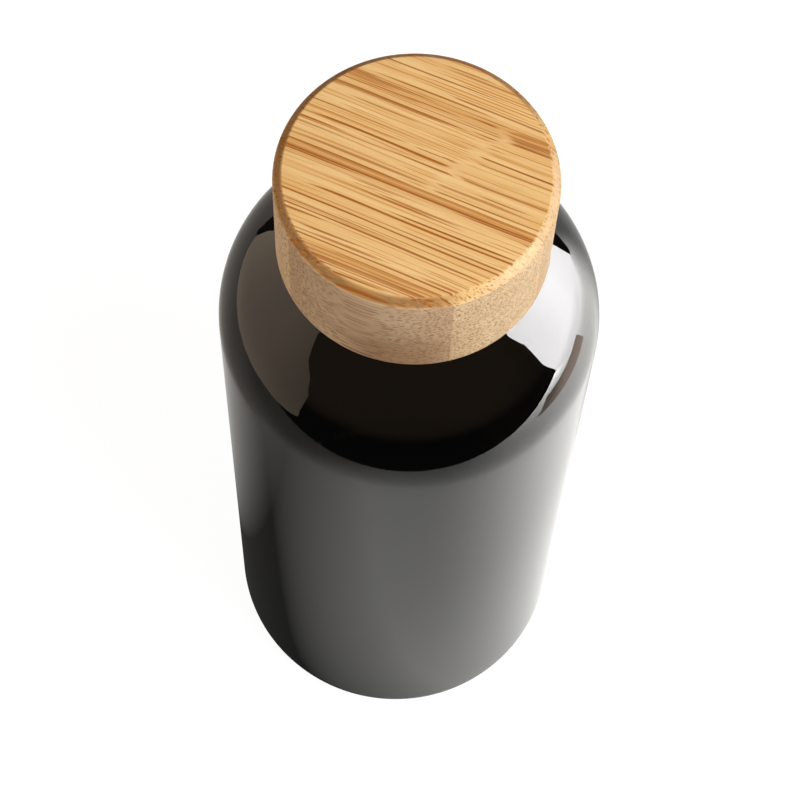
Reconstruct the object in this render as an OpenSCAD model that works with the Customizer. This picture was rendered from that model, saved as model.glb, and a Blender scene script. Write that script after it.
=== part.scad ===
// Glass water bottle with a screw-on bamboo lid. Millimetres, +Z up.
// The origin is the middle of the base, on the surface that the bottle stands on.

/* [Overall] */
// Height of the bottle with its lid screwed down
total_h = 200; // [175:1:260]
// Outer diameter of the glass body
body_d = 72; // [64:1:90]

/* [Glass body] */
// Thickness of the side wall and of the shoulder
wall_t = 3; // [2:0.1:4]
// Thickness of the glass in the middle of the base, above the push-up
base_t = 4.5; // [3:0.5:8]
// Radius of the heel, where the side turns in to the base
heel_r = 10; // [6:0.5:14]
// Radius of the curve inside the heel
inner_heel_r = 8; // [4:0.5:12]
// Width of the flat ring that the bottle stands on
foot_w = 5; // [3:0.5:8]
// Height of the hollow push-up under the base
push_up_h = 2.5; // [1:0.5:5]
// Radius of the curve that starts the shoulder
shoulder_r = 21; // [12:1:26]
// Steepness of the shoulder above that curve, in degrees from horizontal
shoulder_slope = 45; // [40:1:55]
// Radius of the hollow curve between shoulder and neck
neck_fillet_r = 3; // [1.5:0.5:4]
// Height from the top of the shoulder to the lid's lower edge
shoulder_gap = 3.7; // [2:0.1:6]

/* [Neck and thread] */
// Outer diameter of the neck between its threads
neck_d = 36; // [32:0.5:44]
// Diameter of the mouth
mouth_d = 30; // [24:0.5:30]
// Rounding of the lip's two edges
lip_r = 1.1; // [0.6:0.1:1.2]
// Rise of the thread in one turn
thread_pitch = 6; // [5:0.5:7]
// Height of a thread ridge
thread_h = 1.2; // [0.8:0.1:1.4]
// Width of a thread ridge at its root
thread_root_w = 2.4; // [1.8:0.1:2.6]
// Width of a thread ridge at its crest
thread_crest_w = 1.2; // [0.8:0.1:1.4]
// Radial clearance between the two threaded pieces
thread_clear = 0.3; // [0.25:0.05:0.5]

/* [Bamboo lid] */
// Height of the lid
lid_h = 24.6; // [22:0.2:32]
// Thickness of the bamboo around the liner
lid_side_t = 3.5; // [2.5:0.1:5]
// Thickness of the bamboo over the liner
lid_top_t = 4.8; // [3.5:0.1:7]
// Chamfer round the top of the lid
lid_chamfer = 1.6; // [0.8:0.1:2.4]
// Chamfer round the lower edge of the lid
lid_low_chamfer = 0.5; // [0.3:0.1:0.8]
// Width of the bamboo strips that are glued edge to edge
strip_w = 17; // [15:0.5:20]
// Distance of the middle glue line from the lid's axis
strip_shift = -2.4; // [-4:0.1:4]
// Direction of the bamboo's grain, in degrees from the X axis
grain_angle = -20.5; // [-90:0.5:90]

/* [Liner and seal] */
// Wall thickness of the threaded liner
liner_t = 1.5; // [1.2:0.1:2]
// Gap filled with glue round the liner
glue_gap = 0.1; // [0.05:0.05:0.2]
// Height of the liner's lower edge above the lid's lower edge
liner_inset = 0.6; // [0.4:0.1:1]
// Thickness of the seal ring
seal_t = 2; // [1.5:0.1:3]
// Gap between the seal ring and the lip before the lid is tightened
seal_gap = 0.05; // [0.02:0.01:0.1]
// Height of the liner's plug below the seal ring
plug_h = 3; // [2:0.5:4]
// Wall thickness of the plug
plug_t = 1.6; // [1.2:0.1:2]
// Radial clearance of the plug in the mouth, and of the seal ring in the liner
plug_clear = 0.6; // [0.4:0.05:0.8]

/* [Hidden] */
$fn = 96;

// Glass body, with the ball that presses the push-up into its base
body_r = body_d / 2;
neck_r = neck_d / 2;
mouth_r = mouth_d / 2;
foot_r = body_r - heel_r;
push_up_r = foot_r - foot_w;
push_up_ball = (pow(push_up_r, 2) + pow(push_up_h, 2)) / (2 * push_up_h);

// Heights, from the top of the lid down
liner_top = total_h - lid_top_t;
seal_top = liner_top - liner_t;
rim_z = seal_top - seal_t - seal_gap;
lid_low = total_h - lid_h;
liner_low = lid_low + liner_inset;
neck_z = lid_low - shoulder_gap;

// The shoulder: a round curve, then a straight cone up to the neck
shoulder_cx = body_r - shoulder_r;
cone_r = shoulder_cx + shoulder_r * cos(shoulder_slope);
cone_z = neck_z - (cone_r - neck_r) / tan(90 - shoulder_slope);
wall_top = cone_z - shoulder_r * sin(90 - shoulder_slope);

// Fit of the lid on the neck
liner_in_r = neck_r + thread_h + thread_clear;
liner_out_r = liner_in_r + liner_t;
bore_r = liner_out_r + glue_gap;
lid_r = bore_r + lid_side_t;
plug_r = mouth_r - plug_clear;

// The two threads share one helix, half a pitch apart, and stop this far from lid edge and lip
thread_inset = 3;
thread_low = lid_low + thread_inset;
thread_top = rim_z - thread_inset - lip_r;
thread_turns = (thread_top - thread_low) / thread_pitch;

// Flat facets in one turn of a ridge, and the part of a turn over which its ends fade out
thread_steps = 40;
fade_turns = 0.12;

// How deep a ridge or fillet is rooted in the wall that it stands on
root_t = 0.3;

// Longer than anything that is cut or kept with it
cut = 2 * total_h;

// Keeps the right-hand half of a profile and spins it round the Z axis
module spin() {
    rotate_extrude() intersection() {
        children();
        translate([0, -cut / 2]) square([cut, cut]);
    }
}

// A disc in a profile, which rounds the corner that it fills
module disc_at(r, z, radius) {
    translate([r, z]) circle(radius);
}

// Half of the cross-section of a solid bottle whose wall lies t inside the body's:
// low_z and low_r are its floor and the radius round it, throat_r its neck, top_z its end
module bottle_outline(t, low_z, low_r, throat_r, top_z) {
    slope = shoulder_slope;
    r = body_r - t;
    arc_r = shoulder_r - t;
    arc_end = [shoulder_cx + arc_r * cos(slope), wall_top + arc_r * sin(slope)];
    throat_z = arc_end.y + (arc_end.x - throat_r) / tan(90 - slope);
    polygon([
        [0, low_z], [r - low_r, low_z], [r, low_z + low_r], [r, wall_top],
        arc_end, [throat_r, throat_z], [throat_r, top_z], [0, top_z]
    ]);
    disc_at(r - low_r, low_z + low_r, low_r);
    disc_at(shoulder_cx, wall_top, arc_r);
}

// The hollow curve where the shoulder meets the neck
module neck_fillet() {
    reach = neck_fillet_r * tan(shoulder_slope / 2);
    centre = [neck_r + neck_fillet_r, neck_z + reach];
    difference() {
        polygon([
            [neck_r, neck_z + reach], [neck_r - root_t, neck_z],
            [neck_r + reach * sin(90 - shoulder_slope), neck_z - reach * cos(90 - shoulder_slope)],
            centre
        ]);
        translate(centre) circle(neck_fillet_r);
    }
}

// The wall of the neck at the lip, with both edges rounded
module lip() {
    low = rim_z - 2 * lip_r;
    polygon([
        [mouth_r, low], [neck_r, low], [neck_r, rim_z - lip_r],
        [neck_r - lip_r, rim_z], [mouth_r + lip_r, rim_z], [mouth_r, rim_z - lip_r]
    ]);
    disc_at(mouth_r + lip_r, rim_z - lip_r, lip_r);
    disc_at(neck_r - lip_r, rim_z - lip_r, lip_r);
}

// Height of a thread ridge at a fraction of its length, fading out at both ends
function ridge_fade(turn) = min(1, turn / fade_turns, (thread_turns - turn) / fade_turns);

// One ring of four points across a ridge, on a wall of radius root_r
function ridge_ring(root_r, side, start_angle, turn) =
    let (
        tall = (thread_h + root_t / 2) * max(0, ridge_fade(turn)) - root_t / 2,
        z = thread_low + turn * thread_pitch,
        a = start_angle + turn * 360,
        deep_r = root_r - side * root_t,
        crest_r = root_r + side * tall
    )
    [
        for (p = [
            [deep_r, -thread_root_w / 2], [crest_r, -thread_crest_w / 2],
            [crest_r, thread_crest_w / 2], [deep_r, thread_root_w / 2]
        ])
        [p.x * cos(a), p.x * sin(a), z + p.y]
    ];

// A helical ridge on a round wall: side is 1 for a ridge that stands out and -1 for one inside
module thread_ridge(root_r, side, start_angle) {
    count = round(thread_turns * thread_steps);
    points = [
        for (i = [0:count]) each ridge_ring(root_r, side, start_angle, i * thread_turns / count)
    ];
    walls = [
        for (i = [0:count - 1], k = [0:3])
        let (a = 4 * i + k, b = 4 * i + (k + 1) % 4)
        each [[a, a + 4, b], [b, a + 4, b + 4]]
    ];
    last = 4 * count;
    ends = [[0, 1, 2], [0, 2, 3], [last, last + 2, last + 1], [last, last + 3, last + 2]];
    faces = concat(walls, ends);
    polyhedron(points, side < 0 ? faces : [for (f = faces) [f[0], f[2], f[1]]]);
}

module glass_bottle() {
    color([0.10, 0.09, 0.08, 0.75]) {
        spin() difference() {
            union() {
                bottle_outline(0, 0, heel_r, neck_r, rim_z - lip_r);
                neck_fillet();
            }
            bottle_outline(wall_t, base_t + push_up_h, inner_heel_r, mouth_r, total_h);
            disc_at(0, push_up_h - push_up_ball, push_up_ball);
        }
        spin() lip();
        thread_ridge(neck_r, 1, 0);
    }
}

module seal_ring() {
    bevel = seal_t / 6;
    low = rim_z + seal_gap;
    in_r = plug_r + plug_clear / 2;
    out_r = liner_in_r - plug_clear / 2;
    color([0.86, 0.87, 0.86])
    rotate_extrude() polygon([
        [in_r, low + bevel], [in_r + bevel, low], [out_r - bevel, low], [out_r, low + bevel],
        [out_r, seal_top - bevel], [out_r - bevel, seal_top],
        [in_r + bevel, seal_top], [in_r, seal_top - bevel]
    ]);
}

module threaded_liner() {
    plug_low = rim_z - plug_h;
    color([0.90, 0.89, 0.85]) {
        rotate_extrude() polygon([
            [0, seal_top], [plug_r - plug_t, seal_top], [plug_r - plug_t, plug_low],
            [plug_r - plug_t / 2, plug_low], [plug_r, plug_low + plug_t], [plug_r, seal_top],
            [liner_in_r, seal_top], [liner_in_r, liner_low],
            [liner_out_r, liner_low], [liner_out_r, liner_top], [0, liner_top]
        ]);
        thread_ridge(liner_in_r, -1, 180);
    }
}

// The turned lid as one piece of bamboo, before it is cut along its glue lines
module lid_block() {
    rotate_extrude() polygon([
        [bore_r, lid_low], [lid_r - lid_low_chamfer, lid_low], [lid_r, lid_low + lid_low_chamfer],
        [lid_r, total_h - lid_chamfer], [lid_r - lid_chamfer, total_h],
        [0, total_h], [0, liner_top], [bore_r, liner_top]
    ]);
}

// The strip of the lid between two distances from its axis, square to the grain
module bamboo_strip(from, to, shade) {
    color(shade)
    intersection() {
        lid_block();
        rotate([0, 0, grain_angle])
        translate([-cut / 2, from, lid_low - 1])
        cube([cut, to - from, lid_h + 2]);
    }
}

module bamboo_strip_front() {
    bamboo_strip(-cut / 2, strip_shift - strip_w, [0.84, 0.63, 0.38]);
}

module bamboo_strip_mid_front() {
    bamboo_strip(strip_shift - strip_w, strip_shift, [0.88, 0.68, 0.43]);
}

module bamboo_strip_mid_back() {
    bamboo_strip(strip_shift, strip_shift + strip_w, [0.86, 0.65, 0.40]);
}

module bamboo_strip_back() {
    bamboo_strip(strip_shift + strip_w, cut / 2, [0.82, 0.61, 0.37]);
}

glass_bottle();
seal_ring();
threaded_liner();
bamboo_strip_front();
bamboo_strip_mid_front();
bamboo_strip_mid_back();
bamboo_strip_back();
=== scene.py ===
"""A water bottle of smoked glass with a screw-on bamboo lid, on a pale studio floor.

The pieces follow the order in which the bottle is put together: the blown glass, the seal, the liner with
its thread, and the four bamboo strips that are glued edge to edge and turned round the liner.
"""

import math

import bmesh
import bpy
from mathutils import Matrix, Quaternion, Vector


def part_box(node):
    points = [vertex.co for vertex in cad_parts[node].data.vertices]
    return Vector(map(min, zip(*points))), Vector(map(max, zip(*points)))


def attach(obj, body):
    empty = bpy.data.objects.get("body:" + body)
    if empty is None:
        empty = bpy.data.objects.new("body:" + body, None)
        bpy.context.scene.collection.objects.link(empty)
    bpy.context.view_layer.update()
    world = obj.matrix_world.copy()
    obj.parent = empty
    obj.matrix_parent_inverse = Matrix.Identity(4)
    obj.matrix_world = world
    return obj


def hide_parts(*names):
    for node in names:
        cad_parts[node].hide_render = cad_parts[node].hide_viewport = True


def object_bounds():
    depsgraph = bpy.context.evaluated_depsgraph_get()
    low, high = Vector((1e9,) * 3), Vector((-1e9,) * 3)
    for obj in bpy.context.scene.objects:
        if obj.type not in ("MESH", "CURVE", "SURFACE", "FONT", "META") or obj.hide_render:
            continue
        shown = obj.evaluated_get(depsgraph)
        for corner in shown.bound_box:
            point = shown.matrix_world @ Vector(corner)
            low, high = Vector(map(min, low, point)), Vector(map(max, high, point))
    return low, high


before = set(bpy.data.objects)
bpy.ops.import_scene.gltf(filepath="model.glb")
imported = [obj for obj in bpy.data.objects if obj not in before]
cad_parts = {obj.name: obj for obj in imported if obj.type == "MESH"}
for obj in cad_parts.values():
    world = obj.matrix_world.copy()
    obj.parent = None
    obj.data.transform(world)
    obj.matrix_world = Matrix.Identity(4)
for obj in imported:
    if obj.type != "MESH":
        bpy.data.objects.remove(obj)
cad_low, cad_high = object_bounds()


# ---- Camera ----
# It looks down steeply on the lid from in front and is close, so that the glass tapers towards its base.
# It is turned a little about its own line of sight, which leans the bottle to the left.
height = cad_high.z
camera_distance = 0.5187
camera_fall = math.radians(66.92)
camera_turn = math.radians(-0.23)
camera_roll = math.radians(3.15)
aim_side = -0.0008
aim_share = 0.511
lens_mm = 113.9
sensor_mm = 36

sight = Vector((
    math.sin(camera_turn) * math.cos(camera_fall),
    math.cos(camera_turn) * math.cos(camera_fall),
    -math.sin(camera_fall),
))
camera = bpy.data.objects.new("camera", bpy.data.cameras.new("camera"))
camera.data.sensor_width = sensor_mm
camera.data.lens = lens_mm
camera.rotation_mode = "QUATERNION"
camera.location = Vector((aim_side, 0, aim_share * height)) - camera_distance * sight
camera.rotation_quaternion = sight.to_track_quat("-Z", "Y") @ Quaternion((0, 0, 1), camera_roll)
bpy.context.collection.objects.link(camera)

scene = bpy.context.scene
scene.camera = camera
scene.view_settings.view_transform = "Standard"


# ---- Floor ----
# A pale floor that shines by itself, so that the shadows on it stay faint. It gives matt things less light
# than it seems to have, and the glass mirrors the table top of the next section in its place.
class Wire:
    """A socket of a shader tree. Operators on wires add Math nodes, and node() adds any other node."""

    def __init__(self, tree, socket=None):
        self.tree = tree
        self.socket = socket

    def node(self, kind, settings=None, inputs=None, output=0):
        """Adds a node with these settings and sockets, and returns the wire of one of its outputs."""
        made = self.tree.nodes.new(kind)
        for name, value in (settings or {}).items():
            setattr(made, name, value)
        for name, value in (inputs or {}).items():
            if isinstance(value, Wire):
                self.tree.links.new(value.socket, made.inputs[name])
            else:
                made.inputs[name].default_value = value
        return Wire(self.tree, made.outputs[output] if made.outputs else None)

    def other(self, output):
        """Another output of the same node."""
        return Wire(self.tree, self.socket.node.outputs[output])

    def maths(self, operation, first, second=0.0):
        return self.node("ShaderNodeMath", {"operation": operation}, {0: first, 1: second})

    def __add__(self, other):
        return self.maths("ADD", self, other)

    def __sub__(self, other):
        return self.maths("SUBTRACT", self, other)

    def __rsub__(self, other):
        return self.maths("SUBTRACT", other, self)

    def __mul__(self, other):
        return self.maths("MULTIPLY", self, other)

    def __truediv__(self, other):
        return self.maths("DIVIDE", self, other)

    def __rtruediv__(self, other):
        return self.maths("DIVIDE", other, self)

    __radd__ = __add__
    __rmul__ = __mul__


def new_finish(name):
    """An empty material, and the wire that its nodes start from."""
    material = bpy.data.materials.new(name)
    material.use_nodes = True
    material.node_tree.nodes.clear()
    return material, Wire(material.node_tree)


def colour(red, green, blue):
    """A colour as a designer picks it, 0 to 255 a channel, in the linear light that shaders use."""
    channels = [c / 255 for c in (red, green, blue)]
    return [c / 12.92 if c <= 0.04045 else ((c + 0.055) / 1.055) ** 2.4 for c in channels] + [1]


def lit(tint, strength):
    """The colour of a surface that shines with this tint and strength."""
    return [c * strength for c in tint[:3]] + [1]


def blended(factor, first, second):
    """A mix of two colours, at least one of the three being a wire."""
    wire = factor if isinstance(factor, Wire) else first
    return wire.node("ShaderNodeMix", {"data_type": "RGBA"}, {0: factor, 6: first, 7: second}, 2)


def new_mesh_object(name, vertices, faces, material):
    """An object in the scene with these corners and faces and one material."""
    mesh = bpy.data.meshes.new(name)
    mesh.from_pydata(vertices, [], faces)
    mesh.materials.append(material)
    made = bpy.data.objects.new(name, mesh)
    bpy.context.collection.objects.link(made)
    return made


def flat_panel(name, corners, z, material):
    """A flat piece of the studio, lying level."""
    return new_mesh_object(name, [(x, y, z) for x, y in corners], [tuple(range(len(corners)))], material)


white = (1, 1, 1, 1)
floor_size = 4
floor_gap = 0.0004
floor_z = cad_low.z - floor_gap
floor_light = 1.1
floor_lent_light = 0.58
floor_shade = 0.12

floor_finish, wire = new_finish("floor")
for_matt_things = wire.node("ShaderNodeLightPath", output="Is Diffuse Ray")
glow = wire.node("ShaderNodeEmission", {}, {
    "Color": blended(for_matt_things, lit(white, floor_light), lit(white, floor_lent_light)),
})
matt = wire.node("ShaderNodeBsdfDiffuse", {}, {"Color": colour(246, 246, 246)})
mixed = wire.node("ShaderNodeMixShader", {}, {0: floor_shade, 1: glow, 2: matt})
wire.node("ShaderNodeOutputMaterial", {}, {"Surface": mixed})
floor_finish.cycles.emission_sampling = "NONE"

floor = flat_panel("floor", [
    (-floor_size, -floor_size),
    (floor_size, -floor_size),
    (floor_size, floor_size),
    (-floor_size, floor_size),
], floor_z, floor_finish)
floor.visible_glossy = False


# ---- Table top ----
# The white table as the glass mirrors it, a glowing panel with its light and shade painted in. It grows
# brighter towards the softbox on the right, a painted shadow of the bottle darkens it on the left, and it
# ends in front, which draws a clean line across the shoulder.
table_edge = 0.265
table_side = 1.5
table_back = 0.5
panel_gap = 0.0002
table_z = floor_z + panel_gap

table_light = 0.62
table_dark = 0.04
table_growth = 9
table_growth_2 = 6

# Degrees round the bottle, from the right towards the back: where the table is lit up, and where the light
# that the bottle can keep off it comes from
lit_from = -75
lit_fully_from = 10
lit_fully_to = 26
lit_to = 47
softbox_from = -15
softbox_to = 51

# The table is painted darker on the left, and more so in front, and has a painted gleam close to the bottle
# on the right
left_reach = 0.15
left_loss = 0.33
front_reach = 0.12
front_left_loss = 0.22
gleam = 0.18
gleam_starts = -0.01
gleam_full = 0.02
gleam_fades = 0.038
gleam_ends = 0.07

# Where the softbox's stand glows on the table, with its light painted in, dim in front and bright behind
stand_corners = [(0.31, -0.15), (0.58, -0.19), (0.67, 0.11), (0.33, 0.07)]
stand_dim_to = -0.15
stand_dim = 1.1
stand_bright_from = -0.03
stand_bright = 2.5
body_r = cad_high.x


def soft_step(value, low, high):
    """0 below low, 1 above high and a smooth curve between them."""
    return value.node("ShaderNodeMapRange", {"interpolation_type": "SMOOTHSTEP"}, {
        "Value": value, "From Min": low, "From Max": high,
    })


def part_of(place, axis):
    """One part of a place, its X, Y or Z."""
    return place.node("ShaderNodeSeparateXYZ", {}, {0: place}, axis)


def degrees_round(right, back):
    """The turn round the upright axis, from the right towards the back."""
    return right.maths("ARCTAN2", back, right) * math.degrees(1)


table_finish, wire = new_finish("table")
place = wire.node("ShaderNodeTexCoord", output="Object")
right = part_of(place, "X")
back = part_of(place, "Y")
away = wire.node("ShaderNodeVectorMath", {"operation": "LENGTH"}, {0: place}, "Value")

# The share of the softbox that the bottle hides from this place on the table, for its painted shadow
bottle_turn = degrees_round(0 - right, 0 - back)
bottle_half = wire.maths("ARCSINE", wire.maths("MINIMUM", body_r / away, 1.0)) * math.degrees(1)
hidden_from = wire.maths("MAXIMUM", bottle_turn - bottle_half, softbox_from)
hidden_to = wire.maths("MINIMUM", bottle_turn + bottle_half, softbox_to)
hidden = wire.maths("MAXIMUM", hidden_to - hidden_from, 0.0) / (softbox_to - softbox_from)

turn = degrees_round(right, back)
towards = soft_step(turn, lit_from, lit_fully_from) * (1 - soft_step(turn, lit_fully_to, lit_to))
growth = (away * table_growth + away * away * table_growth_2) * towards
left = soft_step(0 - right, 0.0, left_reach)
front_left = soft_step(0 - back, 0.0, front_reach) * left
base = (1 - left * left_loss - front_left * front_left_loss) * table_light
by_bottle = soft_step(right, gleam_starts, gleam_full) * (1 - soft_step(away, gleam_fades, gleam_ends))
bright = (growth + base) * (1 - hidden) * (by_bottle * gleam + 1) + table_dark
tint = blended(left, colour(255, 254, 251), colour(255, 246, 236))
shine = wire.node("ShaderNodeVectorMath", {"operation": "SCALE"}, {0: tint, "Scale": bright}, "Vector")
glow = wire.node("ShaderNodeEmission", {}, {"Color": shine})
wire.node("ShaderNodeOutputMaterial", {}, {"Surface": glow})

# The stand as the glass mirrors it: a glowing panel with painted light
stand_finish, wire = new_finish("softbox_stand")
stand_tint = colour(255, 232, 216)
back = part_of(wire.node("ShaderNodeTexCoord", output="Object"), "Y")
fade = soft_step(back, stand_dim_to, stand_bright_from)
glow = wire.node("ShaderNodeEmission", {}, {
    "Color": blended(fade, lit(stand_tint, stand_dim), lit(stand_tint, stand_bright)),
})
wire.node("ShaderNodeOutputMaterial", {}, {"Surface": glow})


def only_mirrored(panel):
    """Shows a piece of the studio in what is mirrored and nowhere else."""
    panel.active_material.cycles.emission_sampling = "NONE"
    panel.visible_camera = False
    panel.visible_diffuse = False
    panel.visible_shadow = False


table = flat_panel("table_top", [
    (-table_side, -table_edge),
    (table_side, -table_edge),
    (table_side, table_back),
    (-table_side, table_back),
], table_z, table_finish)
stand = flat_panel("softbox_stand", stand_corners, table_z + panel_gap, stand_finish)
only_mirrored(table)
only_mirrored(stand)


# ---- Lights ----
# A lamp above on the right lights the lid, and a dim warm card on the left fills its dark side. The glass
# mirrors that card and a tall softbox on the right, and above them the dark warm room.
shoulder_share = 0.8
panels_seen_from = Vector((0, 0, shoulder_share * height))
softbox_distance = 0.65
softbox_tint = colour(255, 253, 254)
softbox_outline = [
    (-30, 22, 30),
    (-22, 15.5, 30),
    (-17, 13, 30),
    (-12.5, 11, 30),
    (-10.5, 3, 30),
    (-9, -5, 30),
    (-3, -10.5, 30),
    (6, -13, 30),
    (21, -12.5, 30),
    (37, -10.5, 30),
    (40, -9, 30),
    (41, 0, 30),
]
card_distance = 0.5
card_tint = colour(255, 231, 206)
card_outline = [
    (142, -9.5, 16),
    (150, -15, 16),
    (162, -17.5, 16),
    (180, -18, 16),
    (198, -16.5, 15.5),
    (209, -16.5, 15.5),
    (217, -14.5, 15.5),
    (221, -12, 14),
]

lamp_turn = math.radians(-35)
lamp_rise = math.radians(57)
lamp_distance = 0.8
lamp_size = 0.35
lamp_power = 7.2

room_dark = (0.03, 0.03, 0.03, 1)
room_warm = (0.17, 0.125, 0.09, 1)
room_warm_from = 0.02
room_warm_to = 0.3


def light_panel(name, distance, outline, tint, axis, dim_to, dim, bright_from, bright):
    """A panel that shines dimly up to one place along an axis and brightly from another. The outline has the
    degrees round the bottle, then the lowest and the highest degree above level, from the shoulder."""
    finish, wire = new_finish(name)
    place = wire.node("ShaderNodeTexCoord", output="Object")
    fade = soft_step(part_of(place, axis), dim_to, bright_from)
    glow = wire.node("ShaderNodeEmission", {}, {"Color": blended(fade, lit(tint, dim), lit(tint, bright))})
    wire.node("ShaderNodeOutputMaterial", {}, {"Surface": glow})
    corners = []
    for turn, low, high in outline:
        turn = math.radians(turn)
        for rise in (math.radians(low), math.radians(high)):
            out = Vector((math.cos(turn), math.sin(turn), math.tan(rise)))
            corners.append(panels_seen_from + distance * out)
    faces = [(i, i + 2, i + 3, i + 1) for i in range(0, len(corners) - 2, 2)]
    return new_mesh_object(name, corners, faces, finish)


softbox = light_panel(
    "softbox", softbox_distance, softbox_outline, softbox_tint,
    axis="Z", dim_to=0.02, dim=9.5, bright_from=0.19, bright=16.5,
)
only_mirrored(softbox)

fill_card = light_panel(
    "fill_card", card_distance, card_outline, card_tint,
    axis="Y", dim_to=-0.40, dim=0.8, bright_from=-0.05, bright=1.25,
)
only_mirrored(fill_card)
fill_card.visible_diffuse = True
fill_card.active_material.cycles.emission_sampling = "AUTO"

lamp = bpy.data.objects.new("lamp", bpy.data.lights.new("lamp", "AREA"))
lamp.data.energy = lamp_power
lamp.data.size = lamp_size
lamp_way = Vector((
    math.cos(lamp_turn) * math.cos(lamp_rise), math.sin(lamp_turn) * math.cos(lamp_rise), math.sin(lamp_rise),
))
lamp.location = Vector((0, 0, height)) + lamp_distance * lamp_way
lamp.rotation_mode = "QUATERNION"
lamp.rotation_quaternion = lamp_way.to_track_quat("Z", "Y")
bpy.context.collection.objects.link(lamp)

studio = bpy.data.worlds.new("studio")
studio.use_nodes = True
studio.node_tree.nodes.clear()
scene.world = studio
wire = Wire(studio.node_tree)
upwards = part_of(wire.node("ShaderNodeTexCoord", output="Generated"), "Z")
room = blended(soft_step(upwards, room_warm_from, room_warm_to), room_dark, room_warm)
seen_directly = wire.node("ShaderNodeLightPath", output="Is Camera Ray")
backdrop = wire.node("ShaderNodeBackground", {}, {"Color": blended(seen_directly, room, white)})
wire.node("ShaderNodeOutputWorld", {}, {"Surface": backdrop})


# ---- Glass bottle ----
# Blown soda-lime glass, tinted through and through to a smoky brown-grey, with a pushed-up base, a rounded
# shoulder and a neck with a screw thread. The wall is 3 mm thick, and little light comes through it.
mm = 0.001
rim_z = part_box("glass_bottle")[1].z
liner_low, liner_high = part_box("threaded_liner")
lid_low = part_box("bamboo_strip_mid_front")[0]

wall_t = 3 * mm
floor_t = 7 * mm
heel_r = 10 * mm
inner_heel_r = 8 * mm
foot_r = 21 * mm
foot_edge_r = 1.2 * mm
push_up = 2.5 * mm
push_up_steps = 12
shoulder_r = 21 * mm
shoulder_gap = 3.7 * mm
neck_r = 18 * mm
neck_fillet_r = 3 * mm
throat_fillet_r = 4 * mm
mouth_r = 15 * mm
lip_r = 1.1 * mm

thread_pitch = 6 * mm
thread_inset = 3 * mm
thread_h = 1.2 * mm
thread_half_w = 1.2 * mm
thread_crest_half_w = 0.5 * mm
thread_fade = 0.12
thread_margin = 2 * mm
thread_row = 0.22 * mm
plain_row = 6 * mm
same_r = 0.01 * mm
round_steps = 192
sharp_turn = math.radians(35)


def rounded(corners, turn_step=math.radians(4)):
    """A profile through (radius, height, rounding) corners, each rounding drawn as an arc."""
    points = []
    for i, (r, z, rounding) in enumerate(corners):
        here = Vector((r, z))
        if rounding == 0:
            points.append(here)
            continue
        back = (Vector(corners[i - 1][:2]) - here).normalized()
        ahead = (Vector(corners[(i + 1) % len(corners)][:2]) - here).normalized()
        half = back.angle(ahead) / 2
        centre = here + (back + ahead).normalized() * rounding / math.sin(half)
        start = here + back * rounding / math.tan(half) - centre
        turn = math.pi - 2 * half
        if back.x * ahead.y - back.y * ahead.x > 0:
            turn = -turn
        steps = max(2, math.ceil(abs(turn) / turn_step))
        for k in range(steps + 1):
            angle = turn * k / steps
            points.append(centre + Vector((
                start.x * math.cos(angle) - start.y * math.sin(angle),
                start.x * math.sin(angle) + start.y * math.cos(angle),
            )))
    return points


def divided(points, spacing):
    """The profile with points added, so that none is further than spacing(point) from the next."""
    result = []
    for here, after in zip(points, points[1:]):
        parts = max(1, math.ceil((after - here).length / spacing((here + after) / 2)))
        result += [here.lerp(after, k / parts) for k in range(parts)]
    return result + [points[-1]]


def turned(name, profile, material, closed=False, shape=None):
    """A turned piece: the profile spun round the axis. shape(r, z, angle) may move a point in or out."""
    on_axis = 1e-7
    vertices = []
    rows = []
    for point in profile:
        if point.x < on_axis:
            rows.append([len(vertices)] * round_steps)
            vertices.append((0, 0, point.y))
            continue
        rows.append(range(len(vertices), len(vertices) + round_steps))
        for k in range(round_steps):
            angle = 2 * math.pi * k / round_steps
            r = shape(point.x, point.y, angle) if shape else point.x
            vertices.append((r * math.cos(angle), r * math.sin(angle), point.y))
    faces = []
    for low, high in zip(rows, rows[1:] + (rows[:1] if closed else [])):
        for k in range(round_steps):
            after = (k + 1) % round_steps
            corners = (low[k], low[after], high[after], high[k])
            faces.append(tuple(dict.fromkeys(corners)))
    made = new_mesh_object(name, vertices, faces, material)
    made.data.shade_smooth()
    made.data.set_sharp_from_angle(angle=sharp_turn)
    return made


lid_edge_z = lid_low.z
neck_z = lid_edge_z - shoulder_gap
thread_low = lid_edge_z + thread_inset
thread_high = rim_z - thread_inset - lip_r


def thread_height(z, angle, start):
    """How far the screw thread stands out of its wall at this height and angle."""
    turns = (thread_high - thread_low) / thread_pitch
    at = (z - thread_low) / thread_pitch
    around = ((angle - start) / (2 * math.pi)) % 1
    height = 0
    for whole in range(-1, math.ceil(turns) + 1):
        turn = around + whole
        if not 0 < turn < turns:
            continue
        away = abs(at - turn) * thread_pitch
        flank = (thread_half_w - away) / (thread_half_w - thread_crest_half_w)
        flank = min(1, max(0, flank))
        fade = min(1, turn / thread_fade, (turns - turn) / thread_fade)
        height = max(height, thread_h * fade * flank * flank * (3 - 2 * flank))
    return height


def by_thread(z):
    """Whether this height is in the thread or close to it."""
    return thread_low - thread_margin < z < thread_high + thread_margin


def glass_row(point):
    """Rows are close together where the thread is, and wide along the plain wall."""
    return thread_row if by_thread(point.y) and point.x > mouth_r + lip_r else plain_row


def glass_shape(r, z, angle):
    """The thread stands out of the neck."""
    return r + thread_height(z, angle, 0) if abs(r - neck_r) < same_r else r


inner_r = body_r - wall_t
inner_throat_z = neck_z + neck_r - mouth_r - math.sqrt(2) * wall_t
push_up_ball = (foot_r ** 2 + push_up ** 2) / (2 * push_up)
push_up_turn = math.asin(foot_r / push_up_ball)
base_curve = [
    Vector((push_up_ball * math.sin(a), push_up - push_up_ball * (1 - math.cos(a))))
    for a in (push_up_turn * k / push_up_steps for k in range(push_up_steps))
]

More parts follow.
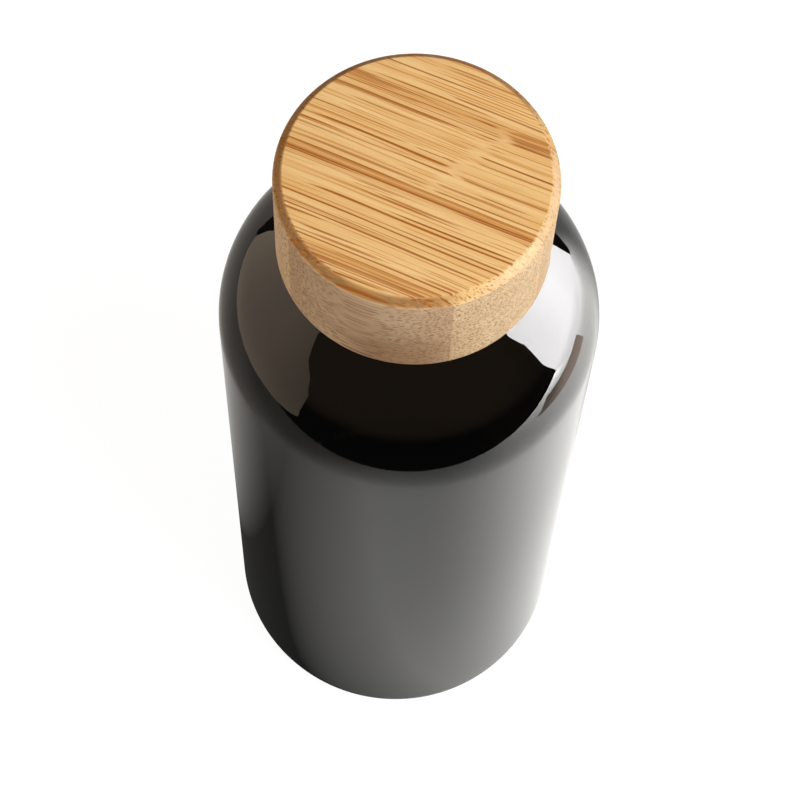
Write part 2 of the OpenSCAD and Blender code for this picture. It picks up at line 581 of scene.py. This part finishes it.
# The first corner only leads the rounding of the foot out of the push-up, and is left out of the profile
wall_curve = rounded([
    (0.9 * foot_r, 0.2 * push_up, 0),
    (foot_r, 0, foot_edge_r),
    (body_r, 0, heel_r),
    (body_r, neck_z - (body_r - neck_r), shoulder_r),
    (neck_r, neck_z, neck_fillet_r),
    (neck_r, rim_z, lip_r),
    (mouth_r, rim_z, lip_r),
    (mouth_r, inner_throat_z, throat_fillet_r),
    (inner_r, inner_throat_z - (inner_r - mouth_r), shoulder_r - wall_t),
    (inner_r, floor_t, inner_heel_r),
    (0, floor_t, 0),
])[1:]

glass_density = 1000
glass_tint = (0.137, 0.073, 0.015, 1)

glass_finish, wire = new_finish("smoked_glass")
place = wire.node("ShaderNodeTexCoord", output="Object")
cloud = wire.node("ShaderNodeTexNoise", {}, {"Vector": place, "Scale": 20, "Detail": 0})
surface = wire.node("ShaderNodeBsdfPrincipled", {}, {
    "Base Color": blended(cloud, white, colour(253, 253, 252)),
    "Roughness": 0,
    "IOR": 1.5,
    "Transmission Weight": 1,
})
depth = wire.node("ShaderNodeVolumeAbsorption", {}, {"Color": glass_tint, "Density": glass_density})
wire.node("ShaderNodeOutputMaterial", {}, {"Surface": surface, "Volume": depth})

glass = turned("glass", divided(base_curve + wall_curve, glass_row), glass_finish, shape=glass_shape)
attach(glass, "bottle")
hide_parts("glass_bottle")


# ---- Seal ring ----
# A ring of food-grade silicone rubber that lies in the top of the liner and is pressed on the lip.
# It is moulded, so its edges are round and its surface is matt.
seal_low, seal_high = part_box("seal_ring")
seal_in_r = 14.7 * mm
seal_edge_r = 0.35 * mm
rubber_depth = 2 * mm

seal_finish, wire = new_finish("silicone")
place = wire.node("ShaderNodeTexCoord", output="Object")
bloom = wire.node("ShaderNodeTexNoise", {}, {"Vector": place, "Scale": 300, "Detail": 3})
rubber = wire.node("ShaderNodeBsdfPrincipled", {}, {
    "Base Color": blended(bloom, colour(206, 209, 208), colour(222, 224, 222)),
    "Roughness": bloom * 0.15 + 0.4,
    "Subsurface Weight": 0.2,
    "Subsurface Radius": (rubber_depth, rubber_depth, rubber_depth),
})
wire.node("ShaderNodeOutputMaterial", {}, {"Surface": rubber})

seal = turned("silicone_seal", rounded([
    (seal_in_r, seal_low.z, seal_edge_r),
    (seal_high.x, seal_low.z, seal_edge_r),
    (seal_high.x, seal_high.z, seal_edge_r),
    (seal_in_r, seal_high.z, seal_edge_r),
]), seal_finish, closed=True)
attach(seal, "seal_carrier")
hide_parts("seal_ring")


# ---- Threaded liner ----
# A cap of off-white polypropylene, moulded with its thread and with a short plug that fits the mouth.
# It is glued into the hollow of the bamboo and carries all the force of the screw.
liner_t = 1.5 * mm
liner_r = liner_high.x
liner_in_r = liner_r - liner_t
liner_row_h = 3 * mm
by_wall = 0.1 * mm
liner_edge_r = 0.3 * mm
ceiling_z = liner_high.z - liner_t
plug_r = 14.4 * mm
plug_t = 1.6 * mm
plug_h = 3 * mm
plug_low = rim_z - plug_h


def liner_row(point):
    """Rows are close together on the threaded wall."""
    return thread_row if by_thread(point.y) and abs(point.x - liner_in_r) < by_wall else liner_row_h


def liner_shape(r, z, angle):
    """The liner's thread stands inwards. It starts half a turn on, to run between the turns of the glass."""
    return r - thread_height(z, angle, math.pi) if abs(r - liner_in_r) < same_r else r


liner_finish, wire = new_finish("polypropylene")
place = wire.node("ShaderNodeTexCoord", output="Object")
flow = wire.node("ShaderNodeTexNoise", {}, {"Vector": place, "Scale": 120, "Detail": 4, "Distortion": 1})
normal = wire.node("ShaderNodeBump", {}, {"Strength": 0.15, "Distance": 0.1 * mm, "Height": flow})
plastic = wire.node("ShaderNodeBsdfPrincipled", {}, {
    "Base Color": blended(flow, colour(226, 223, 212), colour(236, 234, 226)),
    "Roughness": flow * 0.15 + 0.35,
    "Normal": normal,
})
wire.node("ShaderNodeOutputMaterial", {}, {"Surface": plastic})

liner_profile = divided(rounded([
    (0, ceiling_z, 0),
    (plug_r - plug_t, ceiling_z, 0),
    (plug_r - plug_t, plug_low, liner_edge_r),
    (plug_r - plug_t / 2, plug_low, liner_edge_r),
    (plug_r, plug_low + plug_t, liner_edge_r),
    (plug_r, ceiling_z, 0),
    (liner_in_r, ceiling_z, 0),
    (liner_in_r, liner_low.z, liner_edge_r),
    (liner_r, liner_low.z, liner_edge_r),
    (liner_r, liner_high.z, liner_edge_r),
    (0, liner_high.z, 0),
]), liner_row)
liner = turned("liner", liner_profile, liner_finish, shape=liner_shape)
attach(liner, "lid")
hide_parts("threaded_liner")


# ---- Bamboo lid ----
# Four strips of bamboo are glued edge to edge into a board, and the lid is turned from it on a lathe. It is
# sanded, its top edge is chamfered, and it has a thin coat of oil that leaves it almost matt.
lid_r = -lid_low.x
lid_top = cad_high.z
glue_gap = 0.1 * mm
bore_r = liner_r + glue_gap
bore_top = liner_high.z
bore_edge_r = 0.5 * mm
top_chamfer = 1.6 * mm
top_edge_r = 0.35 * mm
low_chamfer = 0.5 * mm
low_edge_r = 0.2 * mm
low_side_edge_r = 0.4 * mm
lid_row_h = 4 * mm
lid_turn_step = math.radians(8)

grain_turn = math.radians(-20.5)
grain = Vector((math.cos(grain_turn), math.sin(grain_turn), 0))
across_grain = Vector((-math.sin(grain_turn), math.cos(grain_turn), 0))

tone = {
    "light": colour(231, 195, 136),
    "deep": colour(220, 176, 114),
    "line": colour(196, 135, 68),
    "pale": colour(240, 210, 160),
    "streak": colour(154, 87, 30),
    "dot": colour(134, 90, 54),
    # the last is the painted shade of the chamfer
    "shaded_chamfer": colour(130, 92, 58),
}

# All sizes from here to the mesh are in millimetres of wood. Only the middle back strip has a joint of the
# culm on the lid; those of the others are past its edge
glue_lines = [-19.4, -2.4, 14.6]
strips = ["front", "mid_front", "mid_back", "back"]
strip_seed = [1.7, 4.1, 8.6, 12.9]
strip_joint = [70, -70, 4.2, -70]
# The side colour of each strip, paler than its top partly from cut fibres and partly as a painted sheen
strip_side = [(226, 196, 160), (245, 215, 171), (226, 196, 154), (220, 190, 146)]

# Each fibre lies in a cell of its own
bold_fibre = {"cell": 0.85, "thin": 0.12, "thick": 0.32, "shuffle": 7.3}
fine_fibre = {"cell": 0.50, "thin": 0.10, "thick": 0.20, "shuffle": 3.1}
close_fibre = {"cell": 0.42, "thin": 0.10, "thick": 0.20, "shuffle": 5.9}
bold_share = 0.9
fine_share = 0.95
soft_share = 0.4
crowd_full = 1.2
crowd_reach = 3.4
fibre_drift = 1.6
fibre_rise = 2.4
joint_slant = 0.48
joint_wave = 9
joint_core = 0.3
joint_reach = 2.2
joint_shift = 40
glue_core = 0.02
glue_reach = 0.14

# Painted shade on the chamfer's left end, a painted highlight on its right end, painted shade low on the side
chamfer_shade_to = 9
chamfer_shade_ends = 18
lit_chamfer_starts = 16
lit_chamfer_from = 22
low_shade_starts = 4
low_shade_from = 22
low_shade_along = 7
low_shade_core = 3
low_shade_reach = 13

# How strongly each layer of the finish shows, from 0 to 1
dark_hairs = 0.6
pale_hairs = 0.5
pale_joint = 0.07
dark_crowd = 0.45
side_bands = 0.15
# Painted shade low on the side, painted shade on the chamfer, and how far fibres fade at a joint and under
# its painted highlight
side_low_shade = 0.6
chamfer_shade = 0.8
fibre_fade = 0.7
side_dots = 0.8
side_streaks = 0.4
specks = 0.35
glue_on_top = 0.6
glue_on_side = 0.15


def bamboo_finish(name, seed, low_edge, high_edge, side_tone, joint):
    """Bamboo with its fibres along the grain. They are crowded at the high edge of the strip, which was the
    outside of the culm. Where a joint of the culm crosses the strip, they fade and start anew."""
    finish, wire = new_finish(name)
    place = wire.node("ShaderNodeTexCoord", output="Object")

    def measured(direction):
        """Millimetres along a direction of the lid."""
        return wire.node("ShaderNodeVectorMath", {"operation": "DOT_PRODUCT"}, {
            0: place, 1: direction / mm,
        }, "Value")

    def vector(x, y, z):
        """Three wires or numbers made into one vector."""
        return wire.node("ShaderNodeCombineXYZ", {}, {0: x, 1: y, 2: z})

    def noise(x, y, z, detail=0, rough=0.5):
        """Soft noise from 0 to 1, mostly near a half, with about one wave to a unit of x, y and z."""
        return wire.node("ShaderNodeTexNoise", {}, {
            "Vector": vector(x, y, z), "Scale": 1, "Detail": detail, "Roughness": rough,
        })

    def size_of(value):
        """The value without its sign."""
        return wire.maths("ABSOLUTE", value)

    along = measured(grain)
    across = measured(across_grain)
    up = measured(Vector((0, 0, 1)))
    radius = wire.node("ShaderNodeVectorMath", {"operation": "LENGTH"}, {
        0: vector(along, across, 0.0),
    }, "Value")
    from_top = lid_top / mm - up
    chamfer = top_chamfer / mm
    rim = lid_r / mm
    on_side = soft_step(from_top, 0.7 * chamfer, chamfer + 0.2)
    on_chamfer = soft_step(radius, rim - 1.1 * chamfer, rim - 0.7 * chamfer) * (1 - on_side)

    # Fibres drift up and sideways along the grain, and start anew at a joint
    wavy = (noise(seed, across * 0.8, up * 0.5, 1) - 0.5) * joint_wave
    past_joint = along - joint - across * joint_slant + wavy
    at_joint = 1 - soft_step(size_of(past_joint), joint_core, joint_reach)
    anew = wire.maths("GREATER_THAN", past_joint) * joint_shift
    drift = (noise(along * 0.022 + seed, across * 0.10, up * 0.10) - 0.5) * fibre_drift
    rise = (noise(along * 0.020, across * 0.5 + seed, up * 0.3, 1) - 0.5) * fibre_rise
    fibre_across = across + drift
    fibre_up = up + rise + anew

    def fibres(kind, share):
        """Round fibres running along the grain. share of them are dark, each by its own amount."""
        cell = kind["cell"]
        shift = seed * kind["shuffle"]
        from_middle = wire.node("ShaderNodeTexVoronoi", {"voronoi_dimensions": "2D"}, {
            "Vector": vector((fibre_across + shift) / cell, (fibre_up + shift) / cell, 0.0), "Scale": 1,
        }, "Distance")
        chance = wire.node("ShaderNodeSeparateColor", {}, {0: from_middle.other("Color")}, "Red")
        size = chance.other("Green") * (kind["thick"] - kind["thin"]) + kind["thin"]
        inside = soft_step((size - from_middle * cell) / (size * soft_share), 0.0, 1.0)
        is_dark = soft_step(share - chance, 0.0, 0.05)
        darkness = (chance.other("Blue") + 1) * 0.5
        return inside * is_dark * darkness

    crowded = 1 - soft_step(high_edge - across, crowd_full, crowd_reach)
    bold = fibres(bold_fibre, bold_share)
    fine = fibres(fine_fibre, fine_share)
    close = fibres(close_fibre, crowded)

    # Soft bands across the strip, hair lines and a light grain
    band = noise(along * 0.012, across * 0.42 + seed * 5, up * 0.42, 2)
    hair = noise(along * 0.10, across * 3.4 + seed, up * 3.4, 3, 0.65)
    speck = noise(along * 1.6, across * 4.5, up * 4.5, 2, 0.6)

    top = blended(soft_step(band, 0.38, 0.68), tone["light"], tone["deep"])
    top = blended(soft_step(hair, 0.5, 0.8) * dark_hairs, top, tone["line"])
    top = blended((1 - soft_step(hair, 0.22, 0.46)) * pale_hairs, top, tone["pale"])
    top = blended(at_joint * pale_joint, top, tone["pale"])
    top = blended(crowded * dark_crowd, top, tone["line"])

    # Fibres are cut across on the side and chamfer; the side's paler colour is partly that and partly painted
    # sheen
    side = blended(soft_step(band, 0.3, 0.7) * side_bands, colour(*side_tone), tone["dot"])
    # Painted shade: the side darkens low down at the front, where the glass shoulder keeps light off it
    low_shade = 1 - soft_step(size_of(along - low_shade_along), low_shade_core, low_shade_reach)
    low_shade = soft_step(from_top, low_shade_starts, low_shade_from) * low_shade
    side = blended(low_shade * side_low_shade, side, tone["dot"])
    # Painted highlight: at its right end, where the lamp falls, the chamfer takes the pale side colour and
    # shows fewer fibres
    lit_chamfer = on_chamfer * soft_step(along, lit_chamfer_starts, lit_chamfer_from)
    # Painted shade: the chamfer darkens towards its left end, which faces away from the lamp
    shaded_chamfer = on_chamfer * (1 - soft_step(along, chamfer_shade_to, chamfer_shade_ends))
    wood = blended(on_side, top, side)
    wood = blended(lit_chamfer, wood, side)
    wood = blended(shaded_chamfer * chamfer_shade, wood, tone["shaded_chamfer"])

    streak = wire.maths("MAXIMUM", bold, close) * (1 - at_joint) * (1 - lit_chamfer * fibre_fade)
    dot = fine * (1 - at_joint * fibre_fade) * (1 - lit_chamfer * fibre_fade)
    dot_tone = blended(on_side, tone["line"], tone["dot"])
    wood = blended(dot * (1 - on_side * (1 - side_dots)), wood, dot_tone)
    wood = blended(streak * (1 - on_side * (1 - side_streaks)), wood, tone["streak"])
    wood = blended((speck - 0.5) * specks + 0.04, wood, tone["line"])

    # The glue shows as a thin dark line at each edge of the strip
    from_glue = wire.maths("MINIMUM", across - low_edge, high_edge - across)
    glue = 1 - soft_step(from_glue, glue_core, glue_reach)
    wood = blended(glue * (glue_on_top - on_side * (glue_on_top - glue_on_side)), wood, tone["streak"])

    relief = hair * 0.4 - streak * 0.6 - fine * 0.3 + speck * 0.3
    normal = wire.node("ShaderNodeBump", {}, {"Strength": 0.35, "Distance": 0.04 * mm, "Height": relief})
    surface = wire.node("ShaderNodeBsdfPrincipled", {}, {
        "Base Color": wood,
        "Roughness": streak * 0.12 + 0.55,
        "Specular IOR Level": 0.06,
        "Normal": normal,
    })
    wire.node("ShaderNodeOutputMaterial", {}, {"Surface": surface})
    return finish


def cut_off(mesh, edge, side):
    """Cuts the turned lid along one edge of a strip, keeps the side with the strip and closes the cut."""
    cut = bmesh.ops.bisect_plane(
        mesh, geom=mesh.verts[:] + mesh.edges[:] + mesh.faces[:],
        plane_co=across_grain * edge * mm, plane_no=across_grain * side, clear_outer=True,
    )
    rim = [e for e in cut["geom_cut"] if isinstance(e, bmesh.types.BMEdge)]
    bmesh.ops.edgeloop_fill(mesh, edges=rim)


lid_profile = divided(rounded([
    (0, bore_top, 0),
    (bore_r, bore_top, bore_edge_r),
    (bore_r, lid_edge_z, low_edge_r),
    (lid_r - low_chamfer, lid_edge_z, low_edge_r),
    (lid_r, lid_edge_z + low_chamfer, low_side_edge_r),
    (lid_r, lid_top - top_chamfer, top_edge_r),
    (lid_r - top_chamfer, lid_top, top_edge_r),
    (0, lid_top, 0),
], lid_turn_step), lambda point: lid_row_h)

past_lid = lid_r / mm + 1
edges = [-past_lid] + glue_lines + [past_lid]

for i, strip in enumerate(strips):
    low_edge = edges[i]
    high_edge = edges[i + 1]
    finish = bamboo_finish(
        "bamboo_" + strip, strip_seed[i], low_edge, high_edge, strip_side[i], strip_joint[i],
    )
    piece = turned("lid_strip_" + strip, lid_profile, finish)
    mesh = bmesh.new()
    mesh.from_mesh(piece.data)
    if i > 0:
        cut_off(mesh, low_edge, -1)
    if i < len(glue_lines):
        cut_off(mesh, high_edge, 1)
    bmesh.ops.recalc_face_normals(mesh, faces=mesh.faces)
    mesh.to_mesh(piece.data)
    mesh.free()
    piece.data.set_sharp_from_angle(angle=sharp_turn)
    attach(piece, "lid")
    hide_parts("bamboo_strip_" + strip)
